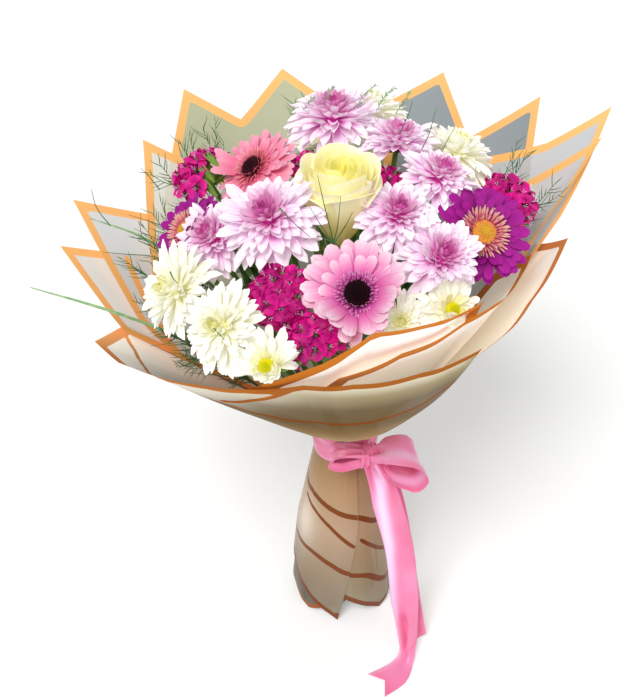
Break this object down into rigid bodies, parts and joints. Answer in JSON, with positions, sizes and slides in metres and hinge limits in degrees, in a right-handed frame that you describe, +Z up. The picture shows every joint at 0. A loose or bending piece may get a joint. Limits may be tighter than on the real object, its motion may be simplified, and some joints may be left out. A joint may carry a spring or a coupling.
{
  "type": "mixed flower bouquet",
  "caption": "Hand-tied bouquet of chrysanthemums, gerberas, a rose and dianthus in flared frosted film with coppery edges, tied with a pink satin ribbon, standing.",
  "frame": {"origin": "cut end of the middle stem, on the surface the bouquet stands on", "axes": "+Z up along the stems; the front, with the ribbon knot, faces -Y; +X is the viewer's right"},
  "size_m": [0.4993, 0.4198, 0.5706],
  "materials": {
    "lilac_petals": "soft petals, pale lilac tips over a purple centre",
    "white_petals": "soft petals, white with a creamy green centre",
    "pink_petals": "soft petals, pink with pale tips",
    "salmon_petals": "soft petals, salmon pink",
    "magenta_petals": "soft petals, magenta",
    "cream_petals": "soft petals, cream, yellower inside",
    "carmine_petals": "velvety petals, carmine with darker eyes",
    "dark_eye": "dense dark tuft",
    "yellow_eye": "dense yellow tuft",
    "bud": "closed green-yellow bud",
    "stems_and_leaves": "fresh green stems and leaves, satin",
    "fine_greenery": "fine fern and grass, satin",
    "wrap_film": "frosted see-through film with coppery edge bands",
    "satin_ribbon": "pink satin, shiny",
    "twine": "plain natural twine"
  },
  "bodies": {
    "root": {"binding_twine": "twine", "carmine_dianthus_centre": "carmine_petals", "carmine_dianthus_front": "carmine_petals", "carmine_dianthus_left": "carmine_petals", "carmine_dianthus_mid_left": "carmine_petals", "carmine_dianthus_mid_right": "carmine_petals", "carmine_dianthus_rear": "carmine_petals", "carmine_dianthus_right": "carmine_petals", "cream_rose": "cream_petals", "fern_left": "fine_greenery", "fern_left_low": "fine_greenery", "fern_left_rear": "fine_greenery", "fern_rear": "fine_greenery", "fern_right": "fine_greenery", "film_front_inner": "wrap_film", "film_front_outer": "wrap_film", "film_front_right": "wrap_film", "film_left": "wrap_film", "film_left_inner": "wrap_film", "film_left_low": "wrap_film", "film_rear": "wrap_film", "film_rear_right": "wrap_film", "film_right": "wrap_film", "film_right_inner": "wrap_film", "film_right_outer": "wrap_film", "grass_blade_left": "fine_greenery", "grass_blade_upper_left": "fine_greenery", "lilac_mum_centre": "lilac_petals", "lilac_mum_left": "lilac_petals", "lilac_mum_left_low": "lilac_petals", "lilac_mum_low_right": "lilac_petals", "lilac_mum_rear": "lilac_petals", "lilac_mum_right": "lilac_petals", "lilac_mum_top": "lilac_petals", "lilac_mum_upper_right": "lilac_petals", "magenta_gerbera_left": "magenta_petals", "magenta_gerbera_left_eye": "yellow_eye", "magenta_gerbera_right": "magenta_petals", "magenta_gerbera_right_eye": "yellow_eye", "mum_bud": "bud", "pink_gerbera": "pink_petals", "pink_gerbera_eye": "dark_eye", "salmon_gerbera": "salmon_petals", "salmon_gerbera_eye": "dark_eye", "satin_ribbon": "satin_ribbon", "stems_and_leaves": "stems_and_leaves", "white_mum_front": "white_petals", "white_mum_front_eye": "yellow_eye", "white_mum_left": "white_petals", "white_mum_left_front": "white_petals", "white_mum_low_centre": "white_petals", "white_mum_rear": "white_petals", "white_mum_right_front": "white_petals", "white_mum_right_front_eye": "yellow_eye", "white_mum_top": "white_petals", "white_mum_upper_right": "white_petals"}
  },
  "joints": []
}
